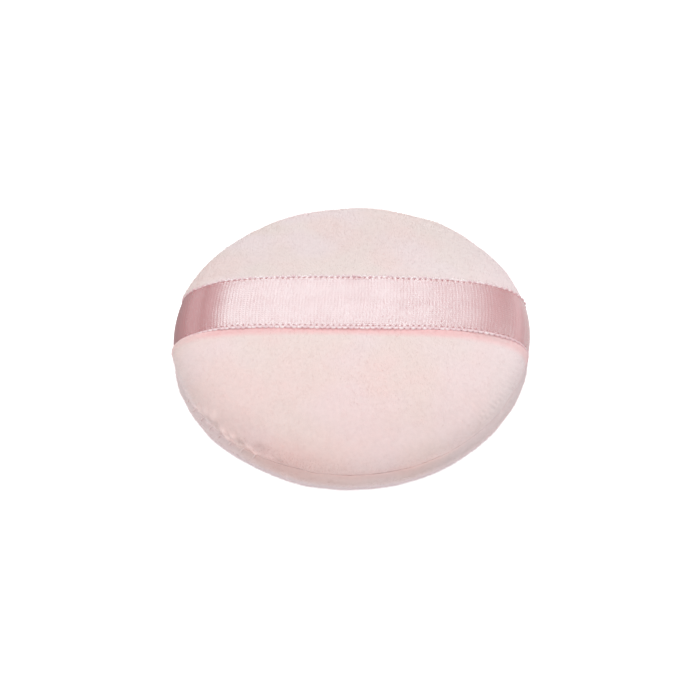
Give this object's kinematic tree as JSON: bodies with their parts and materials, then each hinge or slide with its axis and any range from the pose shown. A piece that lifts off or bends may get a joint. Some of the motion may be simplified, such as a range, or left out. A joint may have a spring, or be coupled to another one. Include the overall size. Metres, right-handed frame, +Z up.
{
  "type": "powder puff",
  "caption": "Round velour powder puff with a sponge core, a drawn-in seam round the rim and a satin finger ribbon across the back.",
  "frame": {"origin": "middle of the flat powder face that the puff lies on", "axes": "+Z up out of the ribbon side, +X along the ribbon, +Y across it"},
  "size_m": [0.0814, 0.08, 0.0232],
  "materials": {
    "velour": "short dense velour pile, pale warm pink",
    "foam": "soft open-cell sponge, off-white",
    "satin": "woven satin ribbon with looped selvedges, pale rose",
    "thread": "matte spun sewing thread, pale pink"
  },
  "bodies": {
    "root": {"top_cover": "velour", "bottom_cover": "velour", "sponge_core": "foam", "ribbon_band": "satin", "seam_needle_thread": "thread", "seam_bobbin_thread": "thread", "closing_thread": "thread"}
  },
  "joints": []
}
